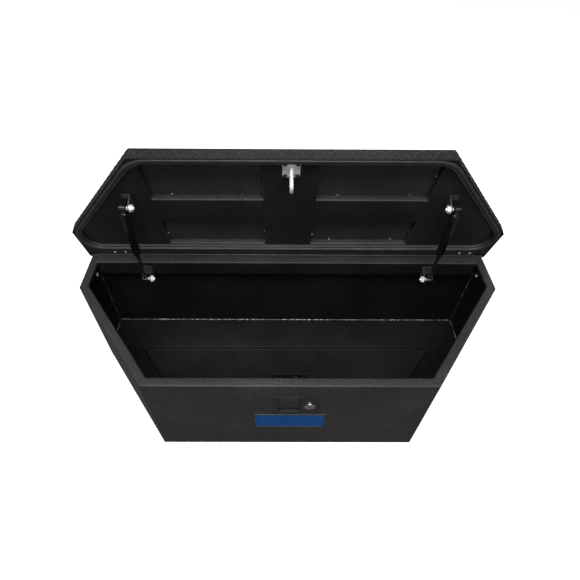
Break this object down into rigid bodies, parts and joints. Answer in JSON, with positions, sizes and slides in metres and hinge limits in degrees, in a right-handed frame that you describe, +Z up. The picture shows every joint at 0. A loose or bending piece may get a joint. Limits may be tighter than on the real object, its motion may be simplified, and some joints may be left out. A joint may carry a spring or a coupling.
{
  "type": "trailer tongue tool box",
  "caption": "Hexagonal-plan steel tool box for a trailer tongue, with a hinged lid held open by gas struts and a paddle latch with a key lock.",
  "frame": {"origin": "middle of the underside, on the centre line, half-way between the front and rear faces; it lies on the pressed-down floor panel", "axes": "+X to the right along the width, +Y from the front face towards the hinge, +Z up; the lid is shown open"},
  "size_m": [0.991, 0.3837, 0.6366],
  "materials": {
    "powder_coat": "fine textured black powder coat",
    "tread_coat": "black powder coat over diamond tread plate",
    "rubber": "matte black EPDM seal",
    "zinc": "zinc-plated steel",
    "black_oxide": "blackened steel, satin",
    "chrome": "polished chrome",
    "strut_paint": "satin black painted tube",
    "latch_black": "textured black moulding",
    "plate_frame": "satin aluminium border",
    "plate_blue": "blue enamel, blank"
  },
  "bodies": {
    "root": {"front_panel": "powder_coat", "side_panel_right": "powder_coat", "side_panel_left": "powder_coat", "rear_panel": "powder_coat", "floor_pan": "powder_coat", "hinge_leaf_body": "powder_coat", "hinge_pin": "zinc", "latch_plate": "latch_black", "paddle_pin": "zinc", "lock_housing": "chrome", "catch_housing": "black_oxide", "claw_pivot": "black_oxide", "pawl_pivot": "black_oxide", "nameplate_frame": "plate_frame", "nameplate_insert": "plate_blue", "side_bolt_left": "zinc", "side_bolt_right": "zinc", "lower_bracket_left": "zinc", "lower_bracket_right": "zinc", "lower_stud_left": "zinc", "lower_stud_right": "zinc", "lower_nut_left": "zinc", "lower_nut_right": "zinc"},
    "lid": {"hinge_leaf_lid": "powder_coat", "lid_shell": "tread_coat", "lid_frame": "powder_coat", "lid_seal": "rubber", "lid_channel": "powder_coat", "striker_plate": "zinc", "striker_loop": "zinc", "striker_screw_1": "black_oxide", "striker_screw_2": "black_oxide", "striker_screw_3": "black_oxide", "striker_screw_4": "black_oxide", "front_rib_left": "powder_coat", "front_rib_right": "powder_coat", "rear_rib_left": "powder_coat", "rear_rib_right": "powder_coat", "end_pan_left": "powder_coat", "end_pan_right": "powder_coat", "upper_bracket_left": "zinc", "upper_bracket_right": "zinc", "upper_stud_left": "zinc", "upper_stud_right": "zinc", "upper_nut_left": "zinc", "upper_nut_right": "zinc"},
    "paddle": {"paddle": "latch_black"},
    "key": {"lock_plug": "chrome", "lock_cam": "zinc"},
    "claw": {"claw": "black_oxide"},
    "pawl": {"pawl": "black_oxide"},
    "rod_left": {"rod_socket_left": "black_oxide", "strut_rod_left": "black_oxide"},
    "tube_left": {"strut_tube_left": "strut_paint", "tube_socket_left": "black_oxide"},
    "rod_right": {"rod_socket_right": "black_oxide", "strut_rod_right": "black_oxide"},
    "tube_right": {"strut_tube_right": "strut_paint", "tube_socket_right": "black_oxide"}
  },
  "joints": [
    {"name": "lid_hinge", "type": "hinge", "parent": "root", "child": "lid", "pos_m": [0, 0.176, 0.2833], "axis": [1, 0, 0], "range_deg": [0, 74.6], "stiffness_Nm_per_rad": 7, "springref_deg": -57.3},
    {"name": "left_strut_swing", "type": "hinge", "parent": "root", "child": "rod_left", "pos_m": [-0.352, 0.125, 0.25], "axis": [1, 0, 0], "range_deg": [0, 78.83]},
    {"name": "left_strut_slide", "type": "slide", "parent": "rod_left", "child": "tube_left", "axis": [0.0482, -0.1042, 0.9934], "range_m": [-0.07228, 0]},
    {"name": "right_strut_swing", "type": "hinge", "parent": "root", "child": "rod_right", "pos_m": [0.352, 0.125, 0.25], "axis": [1, 0, 0], "range_deg": [0, 78.83]},
    {"name": "right_strut_slide", "type": "slide", "parent": "rod_right", "child": "tube_right", "axis": [-0.0482, -0.1042, 0.9934], "range_m": [-0.07228, 0]},
    {"name": "paddle_pull", "type": "hinge", "parent": "root", "child": "paddle", "pos_m": [0, -0.1715, 0.225], "axis": [-1, 0, 0], "range_deg": [0, 35], "stiffness_Nm_per_rad": 0.3, "springref_deg": -28.65},
    {"name": "lock_turn", "type": "hinge", "parent": "root", "child": "key", "pos_m": [0.043, -0.165, 0.2], "axis": [0, 1, 0], "range_deg": [0, 90]},
    {"name": "claw_turn", "type": "hinge", "parent": "root", "child": "claw", "pos_m": [0.014, -0.1405, 0.238], "axis": [0, -1, 0], "range_deg": [0, 60], "stiffness_Nm_per_rad": 0.1, "springref_deg": -34.38},
    {"name": "pawl_lift", "type": "hinge", "parent": "root", "child": "pawl", "pos_m": [-0.018, -0.1405, 0.228], "axis": [0, 1, 0], "range_deg": [0, 12.3]}
  ],
  "couplings": [
    {"joint": "left_strut_swing", "follows": "lid_hinge", "ratio": 1.0566},
    {"joint": "left_strut_slide", "follows": "lid_hinge", "m_per_rad": -0.055507},
    {"joint": "right_strut_swing", "follows": "lid_hinge", "ratio": 1.0566},
    {"joint": "right_strut_slide", "follows": "lid_hinge", "m_per_rad": -0.055507},
    {"joint": "pawl_lift", "follows": "paddle_pull", "ratio": 0.35}
  ]
}
